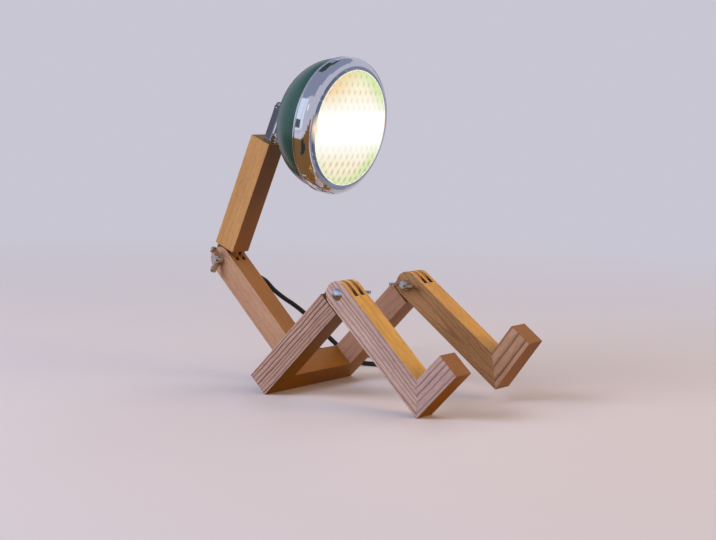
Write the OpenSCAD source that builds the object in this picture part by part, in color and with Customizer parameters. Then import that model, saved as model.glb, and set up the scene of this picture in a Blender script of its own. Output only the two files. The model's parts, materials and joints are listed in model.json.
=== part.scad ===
// Desk lamp in the shape of a seated robot: square timber limbs with finger joints,
// carriage bolts and wing nuts, a chromed fork as its neck and a headlamp as its head.
// Millimetres. +X is the way the lamp faces, +Y its left hand, +Z up, Z = 0 the table top.

/* [Timber] */
// Side of the square bars that every limb is made of
bar = 25; // [22:0.5:30]
// Overall width of the seat frame over both thighs
frame_w = 142; // [120:1:180]
// Seat frame's back face to the knee pivot
thigh_len = 135; // [110:1:170]
// Knee pivot to the sole
calf_len = 140; // [110:1:170]
// Heel to toe
foot_len = 60; // [45:1:80]
// Hip pivot to waist pivot
belly_len = 124; // [95:1:150]
// Waist pivot to the top end of the upper torso
chest_len = 135; // [105:1:160]

/* [Pose] */
// Rise of the thighs above the table
thigh_angle = 45.9; // [40:0.1:50]
// Fall of the left calf below the horizontal
left_calf_angle = 36.5; // [32:0.1:42]
// Rise of the lower torso, which leans back
belly_angle = 44.75; // [35:0.25:60]
// Rise of the upper torso, which leans forward
chest_angle = 67.35; // [60:0.05:75]
// Dip of the lens axis below the horizontal
head_dip = 8.2; // [-5:0.1:15]

/* [Finger joints] */
// Play on each face of a tongue in its slot
finger_play = 0.1; // [0.05:0.05:0.3]
// Play between a round finger end and the shoulder it swings past
shoulder_play = 1; // [0.6:0.1:2]
// Seat frame's back face to the hip pivot
hip_back = 9.5; // [8:0.5:14]
// Depth of the hip stub's tenon in the seat frame
tenon_depth = 15; // [10:1:18]
// Diameter of the hidden dowels in the mitres
dowel_d = 6; // [5:0.5:7]
// Length of a dowel
dowel_len = 22; // [16:1:22]

/* [Bolts and wing nuts] */
// Shank diameter of the carriage bolts
bolt_d = 5; // [4:0.5:7]
// Diameter of a domed bolt head
bolt_head_d = 12; // [10:0.5:16]
// Height of the dome
bolt_head_h = 3.1; // [2.5:0.1:4.5]
// Depth of the square neck under the head
bolt_neck_h = 3; // [2:0.5:4]
// Diameter of the washers
washer_d = 11; // [9:0.5:20]
// Thickness of the washers
washer_t = 1; // [0.8:0.1:2]
// Height of a wing nut's boss
nut_boss_h = 6.5; // [5:0.5:10]
// Diameter of the boss at the washer
nut_boss_d = 10.5; // [9:0.5:14]
// Tip to tip over the wings
wing_span = 27; // [24:1:40]
// Thickness of a wing
wing_t = 2.4; // [1.6:0.1:3]
// Height of the wing tips above the washer
wing_h = 13; // [10:0.5:18]

/* [Neck] */
// Thickness of the fork's steel strip
fork_t = 1.8; // [1.4:0.1:2.4]
// Width of the strip
fork_w = 7; // [6:0.5:9]
// Width over both legs of the fork
fork_span = 15; // [14.6:0.2:18]
// Top of the torso to the tilt pin
fork_rise = 37.3; // [34:0.1:44]
// Neck axis ahead of the torso's centre line
neck_ahead = 3.5; // [0:0.5:4]
// Outer diameter of the threaded tube in the torso
nipple_d = 7; // [6.5:0.5:7.5]
// Bore of the threaded tube
nipple_bore = 4.6; // [4:0.2:5]
// Depth of the threaded tube in the torso
nipple_depth = 22; // [15:1:30]
// Diameter of the tilt screw
pin_d = 3.5; // [3:0.5:4]

/* [Headlamp] */
// Largest radius of the steel shell
shell_r = 65.5; // [60:0.5:72]
// Depth of the shell's rounded back
shell_depth = 53; // [46:1:62]
// Sheet thickness of the shell
shell_t = 1.2; // [0.8:0.1:1.6]
// Width of the rim's convex band over the shell's edge
rim_over = 2.3; // [1.9:0.05:4]
// Sheet thickness of the rim
rim_t = 0.8; // [0.6:0.1:1.2]
// Radius of the lens that shows inside the rim
view_r = 57; // [50:0.1:60]
// Depth of the rim from the lens edge to its rear bead
rim_depth = 17.5; // [15:0.5:20]
// Width of the rim's rear ring, a step below its band
rim_ring = 6.5; // [4:0.5:8]
// Thickness of the lens
lens_t = 3; // [2.4:0.1:3.4]
// Bulge of the lens
lens_bulge = 4; // [2:0.25:5]
// Tilt pin behind the lens edge
pin_back = 86.9; // [84:0.1:95]
// Tilt pin above the lens axis
pin_up = 6.6; // [0:0.1:8]
// Thickness of the lug that turns in the fork
lug_t = 10; // [8:0.5:11]

/* [Bulb] */
// Diameter of the bulb's glass
bulb_d = 26; // [22:1:30]
// Length of the bulb's glass beyond its cap
bulb_len = 32; // [26:1:34]
// Diameter of the bulb's cap
cap_d = 14; // [13:0.5:15]
// Diameter of the lamp holder
holder_d = 27; // [24:0.5:28]

/* [Cord] */
// Waist pivot to the grommet, down the lower torso
grommet_back = 26.5; // [24:0.5:40]
// Grommet behind the lower torso's centre line
grommet_behind = 1.8; // [-3:0.1:3]
// Diameter of the mains cord
cord_d = 5; // [4:0.5:6]
// Sides of the cord
cord_sides = 8; // [8:1:12]

/* [Hidden] */
$fn = 64;
eps = 0.01;

// Fits
running_fit = 0.06;   // radial, on what turns
close_fit = 0.03;     // radial, on what is held
seat_gap = 0.1;       // between pieces that rest on each other
half = bar / 2;

// Finger joints: five layers across a bar, the odd ones are tongues
layers = 5;
layer = bar / layers;
shoulder = half + shoulder_play;
function layer_y(i) = -half + i * layer;

// Points of the pose in the X-Z plane, before the whole is centred on its box
function turned(p, a) = [p.x * cos(a) - p.y * sin(a), p.x * sin(a) + p.y * cos(a)];
function reach(p, len, a) = p + len * [cos(a), sin(a)];
hip_rise = bar + shoulder;
knee = turned([thigh_len, half], thigh_angle);
hip = turned([hip_back, hip_rise], thigh_angle);
waist = reach(hip, belly_len, 180 - belly_angle);
chest_top = reach(waist, chest_len, chest_angle);
tilt_pin = reach(reach(chest_top, fork_rise, chest_angle), neck_ahead, chest_angle - 90);
lens_point = reach(reach(tilt_pin, pin_back, -head_dip), -pin_up, 90 - head_dip);

// The right heel stands on the table, so the right knee's angle follows from its height
right_calf_angle = asin(knee.y / norm([calf_len, half])) - atan(half / calf_len);
left_toe = knee + turned([calf_len, foot_len - half], -left_calf_angle);
right_toe = knee + turned([calf_len, foot_len - half], -right_calf_angle);
centre_x = (max(left_toe.x, right_toe.x) + waist.x - half) / 2;
leg_y = frame_w / 2 - half;

// Fasteners
hole_r = bolt_d / 2 + close_fit;
pivot_r = bolt_d / 2 + running_fit;
bolt_end = bar + washer_t + nut_boss_h + 2;

// Head profile: Z forward from the lens edge, X the radius
rim_r = shell_r + rim_over;
rim_play = 0.2;
ring_r = shell_r + rim_play + rim_t;
bead_r = 0.9;
pole_z = -rim_depth - shell_depth;
rim_widest = rim_ring + rim_r - ring_r - rim_depth;
rim_crown = -0.3;
rim_heart = view_r + 0.6;
rim_turn = 75;
lip_z = -1;
glass_r = view_r - 0.15;
glass_front = 0.9;
lens_r = view_r + 3.4;
lens_edge = lip_z - rim_t - 0.3;
lens_back = lens_edge - lens_t;
gasket_front = lens_back - 0.05;
gasket_t = 2;
flange_t = 1;
flange_front = gasket_front - gasket_t - 0.05;
flange_r = shell_r - 0.5;
shell_front = flange_front - flange_t - seat_gap;
reflector_t = 0.8;
reflector_hole = holder_d / 2 + 0.5;
reflector_mouth = view_r + 0.9;
reflector_back = -50;
stem_r = 5;
stem_bore = 3;
holder_back = pole_z + 5;
holder_front = -43;
cap_back = holder_back + 3;

// The cord's free stretches: points chosen along the photographed line, then on the table
cord_r = cord_d / 2;
grommet_face = 18;
grommet_at = reach(reach(waist, -grommet_back, 180 - belly_angle), grommet_behind, 270 - belly_angle);
function off_grommet(x, y, z) = [grommet_at.x + x, grommet_face + y, grommet_at.y + z];
hanging_route = [
    off_grommet(0, 0, 0), off_grommet(0, 5, 0), off_grommet(0.5, 11.4, -0.9),
    off_grommet(1.9, 17, -3.6), off_grommet(4.1, 21.5, -7.7),
    [-83.4, 45.2, 85.6], [-76.8, 54.4, 76.7], [-70, 64, 68.8], [-62.5, 75, 58], [-56, 87, 44.5],
    [-49, 99, 32], [-44, 108, 22.5], [-40, 116.5, 14], [-36, 124.5, 7.5], [-31.5, 130.5, 3.8],
    [-25.5, 134.8, 2.5], [-18.5, 137, 2.5], [-12.5, 138, 2.5], [-7.5, 138.5, 2.5]
];
table_route = [
    [-7.5, 138.5, 2.5], [-2.5, 139, 2.5], [6, 141, 2.5], [13, 146, 2.5], [17.3, 153.5, 2.5],
    [17.6, 162, 2.5], [14, 170, 2.5], [8, 176, 2.5], [0, 179.5, 2.5], [-10, 181.5, 2.5],
    [-22, 182.5, 2.5], [-34, 183, 2.5], [-46, 183.5, 2.5], [-59, 183.5, 2.5], [-71, 182, 2.5],
    [-82, 179, 2.5], [-92, 174, 2.5], [-100, 167, 2.5], [-106, 158, 2.5], [-110, 149, 2.5]
];

// The coil: two layers of turns that spiral in below and out above, wound anticlockwise
coil_at = [-84, 117];
coil_in = 20;
coil_pitch = cord_d + 0.55;
coil_start = 150;
coil_end = 30;
coil_turns = 7 + (coil_end - coil_start) / 360;
coil_steps = 24;
function coil_point(turn) = let (
        back = abs(turn - coil_turns / 2),
        r = coil_in + coil_pitch * back,
        a = coil_start + 360 * turn,
        climb = min(1, max(0, 2 * (turn - coil_turns / 2) + 0.5)))
    [coil_at.x + r * cos(a), coil_at.y + r * sin(a), cord_r + coil_pitch * climb];
coil_rings = ceil(coil_steps * coil_turns);
function heading(a) = [cos(a), sin(a), 0];
coil_route = [
    coil_point(0) - cord_d * heading(coil_start + 90),
    for (i = [0 : coil_rings]) coil_point(coil_turns * i / coil_rings),
    coil_point(coil_turns) + cord_d * heading(coil_end + 90)
];
coil_first = coil_route[0] - cord_d * heading(coil_start + 90);
coil_last = coil_route[len(coil_route) - 1];

// The lead crosses over the stretch on the table and runs straight into the plug
plug_heading = 103;
plug_t = 15;
lead_end = [-70, 190, plug_t / 2];
lead_route = [
    coil_last, coil_last + cord_d * heading(coil_end + 90), [-60.5, 154.5, 8.1], [-63.5, 163, 8.3],
    [-66, 172, 8.4], [-67.8, 180, 8.4], lead_end - cord_d * heading(plug_heading), lead_end
];

// What the cord measures: its length, and the least gap of the coil to itself
function run(p) = len(p) < 2 ? 0 : [for (i = 0, sum = 0; i < len(p); i = i + 1,
    sum = sum + (i < len(p) ? norm(p[i] - p[i - 1]) : 0)) sum][len(p) - 1];
table_end = [table_route[len(table_route) - 1], coil_route[0]];
cord_length = run(hanging_route) + run(table_route) + run(table_end) + run(coil_route) + run(lead_route);
coil_gap = min([for (i = [0 : len(coil_route) - 1], j = [i + 12 : 1 : len(coil_route) - 1])
    norm(coil_route[i] - coil_route[j])]) - cord_d;
echo(cord_length_mm = cord_length, coil_gap_mm = coil_gap);

// ---------------------------------------------------------------- frames of the limbs
module stand() translate([-centre_x, 0, 0]) children();
module at_angle(p, a) stand() translate([p.x, 0, p.y]) rotate([0, -a, 0]) children();
module seat_frame() at_angle([0, 0], thigh_angle) children();
module leg_frame(side) {
    angle = side < 0 ? right_calf_angle : left_calf_angle;
    at_angle(knee, -angle) translate([0, side * leg_y, 0]) children();
}
module belly_frame() at_angle(hip, 180 - belly_angle) children();
module chest_frame() at_angle(waist, chest_angle) children();
module neck_frame() at_angle(chest_top, chest_angle) translate([0, 0, -neck_ahead]) children();
module head_frame() at_angle(lens_point, -90 - head_dip) children();

// ---------------------------------------------------------------- timber
// A flat slab of thickness t, drawn in X-Z and centred on Y
module slab(t) translate([0, t / 2, 0]) rotate([90, 0, 0]) linear_extrude(t) children();

// Layers first, first + 2 ... last of a finger joint, cut out of the bar up to its shoulder
module finger_cuts(first, last)
    for (i = [first : 2 : last]) {
        below = i == 0 ? 1 : first > 0 ? finger_play : 0;
        above = i == layers - 1 ? 1 : first > 0 ? finger_play : 0;
        translate([-bar, layer_y(i) - below, -bar]) cube([bar + shoulder, layer + below + above, 2 * bar]);
    }

// Hole along Y for a bolt
module bolt_hole(r) rotate([90, 0, 0]) cylinder(r = r, h = 2 * bar, center = true);

// The pocket that the square neck of a bolt is drawn into, on the side of its head
module neck_pocket(side)
    translate([0, side * (half - bolt_neck_h / 2), 0])
        cube([bolt_d + 2 * close_fit, bolt_neck_h + eps, bolt_d + 2 * close_fit], center = true);

// A pair of dowels along X, side by side across the bar
module dowel_pair(r, len)
    for (side = [-1, 1]) translate([0, side * bar / 4, 0]) rotate([0, 90, 0])
        cylinder(r = r, h = len, center = true);

module crossbar() color("peru") seat_frame() difference() {
    linear_extrude(bar) polygon([
        [0, -frame_w / 2], [0, frame_w / 2], [bar, frame_w / 2 - bar], [bar, -frame_w / 2 + bar]
    ]);
    hip_tenon(close_fit);
    frame_dowel_holes();
}

// Both pairs of dowels lie square to their mitre
module frame_dowel_places()
    for (side = [-1, 1])
        translate([half, side * leg_y, half]) rotate([0, 0, side * 45]) rotate([90, 0, 0]) children();

module frame_dowel_holes() frame_dowel_places() dowel_pair(dowel_d / 2 + close_fit, dowel_len + 1);
module frame_dowels() color("burlywood") seat_frame() frame_dowel_places() dowel_pair(dowel_d / 2, dowel_len);

module thigh(side) seat_frame() difference() {
    translate([0, side * leg_y, half]) union() {
        slab(bar) polygon([[0, -half], [thigh_len, -half], [thigh_len, half], [0, half]]);
        translate([thigh_len, 0, 0]) slab(bar) circle(r = half);
    }
    translate([thigh_len, side * leg_y, half]) {
        rotate([0, 180, 0]) finger_cuts(0, 4);
        bolt_hole(pivot_r);
    }
    translate([0, 0, -1]) linear_extrude(bar + 2) polygon([
        [-1, side * (frame_w / 2 + 1)], [bar + 1, side * (frame_w / 2 - bar - 1)],
        [-1, side * (frame_w / 2 - bar - 1)]
    ]);
    frame_dowel_holes();
}
module right_thigh() color("tan") thigh(-1);
module left_thigh() color("tan") thigh(1);

// The stub that the lower torso turns on: two tongues on a tenon let into the crossbar
stub_w = 3 * layer;
tenon_back = 3;
tenon_t = 15;
module hip_tenon(grow = 0)
    translate([tenon_back - grow, -stub_w / 2 - grow, bar - tenon_depth - grow])
        cube([tenon_t + 2 * grow, stub_w + 2 * grow, tenon_depth + 2 * grow]);

module hip_stub() color("burlywood") seat_frame() {
    hip_tenon();
    for (i = [1, 3]) difference() {
        translate([hip_back, layer_y(i) + layer / 2, hip_rise]) slab(layer) union() {
            circle(r = half);
            translate([-half, -shoulder]) square([bar, shoulder]);
        }
        translate([hip_back, 0, hip_rise]) bolt_hole(pivot_r);
    }
}

// ---------------------------------------------------------------- legs
module calf(side) leg_frame(side) difference() {
    slab(bar) union() {
        circle(r = half);
        polygon([[0, -half], [calf_len, -half], [calf_len - bar, half], [0, half]]);
    }
    finger_cuts(1, 3);
    bolt_hole(hole_r);
    neck_pocket(side);
    ankle_frame() dowel_pair(dowel_d / 2 + close_fit, dowel_len + 1);
}

module ankle_frame() translate([calf_len - half, 0, 0]) rotate([0, -45, 0]) children();

module foot(side) leg_frame(side) difference() {
    slab(bar) polygon([
        [calf_len, -half], [calf_len, foot_len - half], [calf_len - bar, foot_len - half],
        [calf_len - bar, half]
    ]);
    ankle_frame() dowel_pair(dowel_d / 2 + close_fit, dowel_len + 1);
}

module ankle_dowels(side) leg_frame(side) ankle_frame() dowel_pair(dowel_d / 2, dowel_len);

module right_calf() color("tan") calf(-1);
module right_foot() color("peru") foot(-1);
module right_ankle_dowels() color("burlywood") ankle_dowels(-1);
module left_calf() color("tan") calf(1);
module left_foot() color("peru") foot(1);
module left_ankle_dowels() color("burlywood") ankle_dowels(1);

// ---------------------------------------------------------------- torso
module lower_torso() color("tan") belly_frame() difference() {
    slab(bar) union() {
        circle(r = half);
        translate([0, -half]) square([belly_len, bar]);
        translate([belly_len, 0]) circle(r = half);
    }
    finger_cuts(1, 3);
    bolt_hole(hole_r);
    neck_pocket(-1);
    translate([belly_len, 0, 0]) {
        rotate([0, 180, 0]) finger_cuts(1, 3);
        bolt_hole(hole_r);
        neck_pocket(1);
    }
    grommet_place() cylinder(r = grommet_r + close_fit, h = grommet_in + seat_gap);
}

// The grommet sits in the left face, below the waist, and points along +Y
grommet_r = cord_d / 2 + 1.5;
grommet_in = 8;
grommet_out = grommet_face - half;
module grommet_place() {
    along = reach([0, 0], 1, 180 - belly_angle);
    d = grommet_at - hip;
    translate([d * along, half - grommet_in, d * [-along.y, along.x]]) rotate([-90, 0, 0]) children();
}

module cord_grommet() color("dimgray") belly_frame() grommet_place() {
    cylinder(r = grommet_r, h = grommet_in);
    translate([0, 0, grommet_in]) cylinder(r = grommet_r + 1.5, h = 1.2);
    translate([0, 0, grommet_in]) cylinder(r1 = grommet_r, r2 = cord_r + 0.5, h = grommet_out);
}

module upper_torso() color("tan") chest_frame() difference() {
    slab(bar) union() {
        circle(r = half);
        translate([0, -half]) square([chest_len, bar]);
    }
    finger_cuts(0, 4);
    bolt_hole(pivot_r);
    translate([chest_len - nipple_depth, 0, -neck_ahead]) rotate([0, 90, 0])
        cylinder(r = nipple_d / 2 + close_fit, h = nipple_depth + 1);
}

// ---------------------------------------------------------------- bolts and wing nuts
// Turns +Z to +Y (side 1) or -Y (side -1), from the bar's face on that side
module on_face(side) translate([0, side * half, 0]) rotate([-side * 90, 0, 0]) children();

module carriage_bolt(side) on_face(side) {
    intersection() {
        dome_r = (pow(bolt_head_d / 2, 2) + pow(bolt_head_h, 2)) / (2 * bolt_head_h);
        translate([0, 0, bolt_head_h - dome_r]) sphere(r = dome_r, $fn = 48);
        cylinder(d = bolt_head_d, h = bolt_head_h);
    }
    translate([0, 0, -bolt_neck_h / 2]) cube([bolt_d, bolt_d, bolt_neck_h], center = true);
    translate([0, 0, -bolt_end]) cylinder(d = bolt_d, h = bolt_end);
}

module washer(side) on_face(side) difference() {
    cylinder(d = washer_d, h = washer_t);
    translate([0, 0, -1]) cylinder(r = bolt_d / 2 + 0.2, h = washer_t + 2);
}

// A boss that narrows upward with two rounded wings that lean out from it
module wing_nut(side) on_face(side) translate([0, 0, washer_t]) difference() {
    union() {
        cylinder(d1 = nut_boss_d, d2 = nut_boss_d - 2.6, h = nut_boss_h);
        for (turn = [0, 180]) rotate([0, 0, turn]) wing();
    }
    translate([0, 0, -1]) cylinder(r = bolt_d / 2 + close_fit, h = nut_boss_h + 2);
}

module wing() {
    tip_r = 3.6;
    tip = [wing_span / 2 - tip_r, wing_h - tip_r];
    root = nut_boss_d / 2 - 1.6;
    slab(wing_t) union() {
        translate(tip) circle(r = tip_r);
        polygon([
            [root, 1], [root + 2.4, 1], tip + [tip_r * 0.82, -tip_r * 0.57],
            tip + [-tip_r * 0.5, tip_r * 0.866], [root, nut_boss_h - 0.8]
        ]);
    }
}

// Knees: domed heads outside, wing nuts inside. Waist: dome on the left. Hip: dome on the right.
module at_joint(p, y = 0) stand() translate([p.x, y, p.y]) children();
module turned_nut(side, turn) rotate([0, turn, 0]) wing_nut(side);

module right_knee_bolt() color("silver") leg_frame(-1) carriage_bolt(-1);
module right_knee_washer() color("silver") leg_frame(-1) washer(1);
module right_knee_wing_nut() color("gainsboro") at_joint(knee, -leg_y) turned_nut(1, 0);
module left_knee_bolt() color("silver") leg_frame(1) carriage_bolt(1);
module left_knee_washer() color("silver") leg_frame(1) washer(-1);
module left_knee_wing_nut() color("gainsboro") at_joint(knee, leg_y) turned_nut(-1, 0);
module hip_bolt() color("silver") belly_frame() carriage_bolt(-1);
module hip_washer() color("silver") belly_frame() washer(1);
module hip_wing_nut() color("gainsboro") at_joint(hip) turned_nut(1, -36);
module waist_bolt() color("silver") belly_frame() translate([belly_len, 0, 0]) carriage_bolt(1);
module waist_washer() color("silver") belly_frame() translate([belly_len, 0, 0]) washer(-1);
module waist_wing_nut() color("gainsboro") at_joint(waist) turned_nut(-1, 90);

// ---------------------------------------------------------------- neck
fork_bend = 3;
fork_base_d = 14;
ring_nut_d = fork_span - 2 * fork_bend + 0.6;
ring_nut_h = 4;
nipple_over = 1.4;
module neck_nipple() color("silver") neck_frame() rotate([0, 90, 0]) difference() {
    translate([0, 0, -nipple_depth])
        cylinder(d = nipple_d, h = nipple_depth + fork_t + ring_nut_h + nipple_over);
    translate([0, 0, -nipple_depth - 1]) cylinder(d = nipple_bore, h = nipple_depth + bar);
}

module neck_ring_nut() color("silver") neck_frame()
    translate([fork_t + 2 * seat_gap, 0, 0]) rotate([0, 90, 0]) difference() {
        cylinder(d = ring_nut_d, h = ring_nut_h);
        translate([0, 0, -1]) cylinder(r = nipple_d / 2 + close_fit, h = ring_nut_h + 2);
        for (turn = [0, 90]) rotate([0, 0, turn])
            translate([-bar / 2, -wrench_slot / 2, ring_nut_h - wrench_slot]) cube([bar, wrench_slot, 2]);
    }
wrench_slot = 1.3;

// A strip bent into a U with round corners and round ends, on a round plate that the tube passes
module neck_fork() color("silver") neck_frame() difference() {
    translate([seat_gap, 0, 0]) {
        intersection() {
            translate([0, 0, -fork_w / 2]) linear_extrude(fork_w) mirror([1, -1]) fork_strip();
            slab(2 * fork_span) union() {
                translate([-1, -fork_w / 2]) square([fork_rise + 1 - seat_gap, fork_w]);
                translate([fork_rise - seat_gap, 0]) circle(d = fork_w);
            }
        }
        rotate([0, 90, 0]) cylinder(d = fork_base_d, h = fork_t);
    }
    rotate([0, 90, 0]) cylinder(r = nipple_d / 2 + running_fit, h = 3 * fork_t, center = true);
    translate([fork_rise, 0, 0]) rotate([90, 0, 0]) cylinder(r = pin_d / 2 + close_fit, h = bar, center = true);
}

// Outline of the bent strip: Y across, X up the legs
module fork_strip() {
    top = fork_rise + fork_w;
    difference() {
        fork_outline(0, fork_bend, top);
        fork_outline(fork_t, fork_bend - fork_t, top + 1);
    }
}
module fork_outline(inset, r, top) {
    w = fork_span / 2 - inset;
    for (s = [-1, 1]) translate([s * (w - r), inset + r]) circle(r = r, $fn = 32);
    translate([-w + r, inset]) square([2 * (w - r), top - inset]);
    translate([-w, inset + r]) square([2 * w, top - inset - r]);
}

screw_head_d = 6.4;
module tilt_screw() color("gainsboro") neck_frame()
    translate([fork_rise, -fork_span / 2, 0]) rotate([90, 0, 0]) {
        difference() {
            cylinder(d1 = screw_head_d, d2 = screw_head_d - 1.6, h = 2);
            translate([0, 0, 0.8]) cylinder(d = 2.4, h = 2);
        }
        translate([0, 0, -fork_span - 5]) cylinder(d = pin_d, h = fork_span + 5);
    }

module tilt_nut() color("silver") neck_frame()
    translate([fork_rise, fork_span / 2, 0]) rotate([-90, 0, 0]) difference() {
        cylinder(d = 7, h = 3, $fn = 6);
        translate([0, 0, -1]) cylinder(r = pin_d / 2 + close_fit, h = 6);
    }

// ---------------------------------------------------------------- headlamp
// The lug: a flanged stem through the pole of the shell and an eye for the tilt screw
lug_flange_t = 2;
eye_r = 5;
module head_lug() color("silver") head_frame() difference() {
    union() {
        translate([0, 0, pole_z - seat_gap - lug_flange_t]) cylinder(r = 8, h = lug_flange_t);
        translate([0, 0, pole_z - seat_gap - eps]) cylinder(r = stem_r, h = 7);
        rotate([90, 0, 0]) translate([0, 0, -lug_t / 2]) linear_extrude(lug_t) union() {
            translate([-pin_up, -pin_back]) circle(r = eye_r);
            polygon([
                [-pin_up - eye_r, -pin_back], [-pin_up + eye_r * 0.94, -pin_back - eye_r * 0.34],
                [6, pole_z - seat_gap - lug_flange_t + eps], [-7, pole_z - seat_gap - lug_flange_t + eps]
            ]);
        }
    }
    translate([-pin_up, 0, -pin_back]) rotate([90, 0, 0])
        cylinder(r = pin_d / 2 + running_fit, h = bar, center = true);
    translate([0, 0, pole_z]) cylinder(r = stem_bore, h = bar);
}

module stem_nut() color("silver") head_frame() translate([0, 0, pole_z + 1.9]) difference() {
    cylinder(d = 16, h = 3, $fn = 6);
    translate([0, 0, -1]) cylinder(r = stem_r + close_fit, h = 6);
}

// Half an ellipse of the shell, from the pole to the front edge
function bowl(r, depth, n = 20) = [for (i = [0 : n]) let (a = 90 * i / n)
    [r * sin(a), -rim_depth - depth * cos(a)]];

module head_shell() color("darkslategray") head_frame() difference() {
    rotate_extrude($fn = 96) difference() {
        polygon(concat(bowl(shell_r, shell_depth), [[shell_r, shell_front], [0, shell_front]]));
        polygon(concat(bowl(shell_r - shell_t, shell_depth - shell_t),
            [[shell_r - shell_t, shell_front + 1], [0, shell_front + 1]]));
    }
    translate([0, 0, pole_z - 1]) cylinder(r = stem_r + seat_gap, h = 4);
}

// The chromed rim: rear bead and ring, a step up to the convex band, and the bevel that holds the lens
function rim_arc(inset) = [for (i = [0 : 10]) let (a = rim_turn * i / 10)
    [rim_heart + (rim_r - rim_heart - inset) * cos(a), rim_widest + (rim_crown - rim_widest - inset) * sin(a)]];
function flipped(list) = [for (i = [len(list) - 1 : -1 : 0]) list[i]];

function rim_line(inset) = concat(
    [[ring_r - inset, -rim_depth], [ring_r - inset, rim_ring - rim_depth]],
    rim_arc(inset), [[view_r, lip_z - inset]]
);

module head_rim() color("silver") head_frame() rotate_extrude($fn = 96) union() {
    polygon(concat(rim_line(0), flipped(rim_line(rim_t))));
    translate([ring_r - rim_t + bead_r, -rim_depth]) circle(r = bead_r, $fn = 24);
}

// The lens: a domed glass that stands in the rim's opening, with a flange behind the rim's lip
function dome(edge, edge_r, n = 12) = [for (i = [0 : n]) let (r = edge_r * i / n)
    [r, edge + lens_bulge * (1 - pow(r / edge_r, 2))]];

module lens() color("ivory", 0.6) head_frame() rotate_extrude($fn = 96) polygon(concat(
    dome(glass_front - lens_t, glass_r - lens_t),
    [[glass_r - lens_t, lens_back], [lens_r, lens_back], [lens_r, lens_edge], [glass_r, lens_edge]],
    flipped(dome(glass_front, glass_r))
));

module lens_gasket() color("black") head_frame() translate([0, 0, gasket_front - gasket_t])
    difference() {
        cylinder(r = lens_r, h = gasket_t);
        translate([0, 0, -1]) cylinder(r = view_r + 1, h = gasket_t + 2);
    }

// A parabola from the holder to the mouth, of even thickness across, with a flat flange
reflector_k = (pow(reflector_mouth, 2) - pow(reflector_hole, 2)) / (flange_front - reflector_back);
function mirror_curve(grow, n = 16) = [for (i = [0 : n])
    let (z = reflector_back + (flange_front - reflector_back) * i / n)
    [sqrt(pow(reflector_hole, 2) + reflector_k * (z - reflector_back)) + grow, z]];

module reflector() color("whitesmoke") head_frame() rotate_extrude($fn = 96) polygon(concat(
    mirror_curve(0), [[flange_r, flange_front], [flange_r, flange_front - flange_t]],
    [[reflector_mouth + reflector_t, flange_front - flange_t]],
    [for (p = flipped(mirror_curve(reflector_t))) if (p.y < flange_front - flange_t) p]
));

module bulb_holder() color("white") head_frame() translate([0, 0, holder_back]) difference() {
    cylinder(d = holder_d, h = holder_front - holder_back);
    translate([0, 0, 3 - seat_gap]) cylinder(r = cap_d / 2 + 0.3, h = 60);
    translate([0, 0, -1]) cylinder(r = stem_r + seat_gap, h = 3);
}

module bulb() color("lightyellow") head_frame() {
    glass_r = bulb_d / 2;
    translate([0, 0, cap_back]) cylinder(d = cap_d, h = holder_front - cap_back + 1);
    rotate_extrude($fn = 64) polygon(concat([[0, holder_front]], [for (i = [0 : 16])
        let (a = -60 + 150 * i / 16, waist_r = cap_d / 2)
        [max(waist_r * (i == 0 ? 1 : 0), glass_r * cos(a)),
         holder_front + 1 + (bulb_len - 1) * (sin(a) + sin(60)) / (1 + sin(60))]]));
}

// ---------------------------------------------------------------- cord
// A tube swept along points: every ring stands square to the path
function unit(v) = v / norm(v);
function tangent(p, i) = unit(p[min(i + 1, len(p) - 1)] - p[max(i - 1, 0)]);
function side_of(t) = unit(cross(abs(t.z) > 0.95 ? [1, 0, 0] : [0, 0, 1], t));
module tube(p, r, sides) {
    n = len(p);
    rings = [for (i = [0 : n - 1]) let (t = tangent(p, i), u = side_of(t), v = cross(t, u))
        for (k = [0 : sides - 1]) let (a = 360 * (k + 0.5) / sides)
            p[i] + r * (u * cos(a) + v * sin(a))];
    walls = [for (i = [0 : n - 2], k = [0 : sides - 1]) let (j = (k + 1) % sides)
        each [[i * sides + k, (i + 1) * sides + k, (i + 1) * sides + j],
              [i * sides + k, (i + 1) * sides + j, i * sides + j]]];
    caps = [each [for (k = [1 : sides - 2]) [0, k, k + 1]],
            each [for (k = [1 : sides - 2]) let (b = (n - 1) * sides) [b, b + k + 1, b + k]]];
    polyhedron(points = rings, faces = concat(walls, caps), convexity = 6);
}

module cord_hanging() color("dimgray") stand() tube(hanging_route, cord_r, cord_sides);
module cord_on_table() color("dimgray") stand()
    tube(concat(table_route, [coil_first, coil_route[0]]), cord_r, cord_sides);
module cord_coil() color("dimgray") stand() tube(coil_route, cord_r, 6);
module cord_to_plug() color("dimgray") stand() tube(lead_route, cord_r, cord_sides);

// A flat two-pin plug: a tapering relief, a waisted body and two round pins
plug_w = 34;
plug_len = 44;
relief_len = 20;
grip_len = 9;
relief_r = plug_t / 2 - 2;
plug_corner = 4;
plug_pin_d = 4;
plug_pin_len = 19;
plug_pin_in = 8;
plug_pin_space = 19;
plug_tip = 1.4;
module plug_frame() stand() translate(lead_end) rotate([0, 0, plug_heading]) children();
module at_pins() for (side = [-1, 1])
    translate([plug_len - plug_pin_in, side * plug_pin_space / 2, 0]) rotate([0, 90, 0]) children();

module plug_body() color("dimgray") plug_frame() difference() {
    union() {
        rotate([0, 90, 0]) cylinder(r1 = cord_r + 0.5, r2 = relief_r, h = relief_len);
        translate([relief_len - 1, 0, -plug_t / 2]) linear_extrude(plug_t) plug_outline();
    }
    at_pins() cylinder(r = plug_pin_d / 2 + close_fit, h = plug_len);
}

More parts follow.
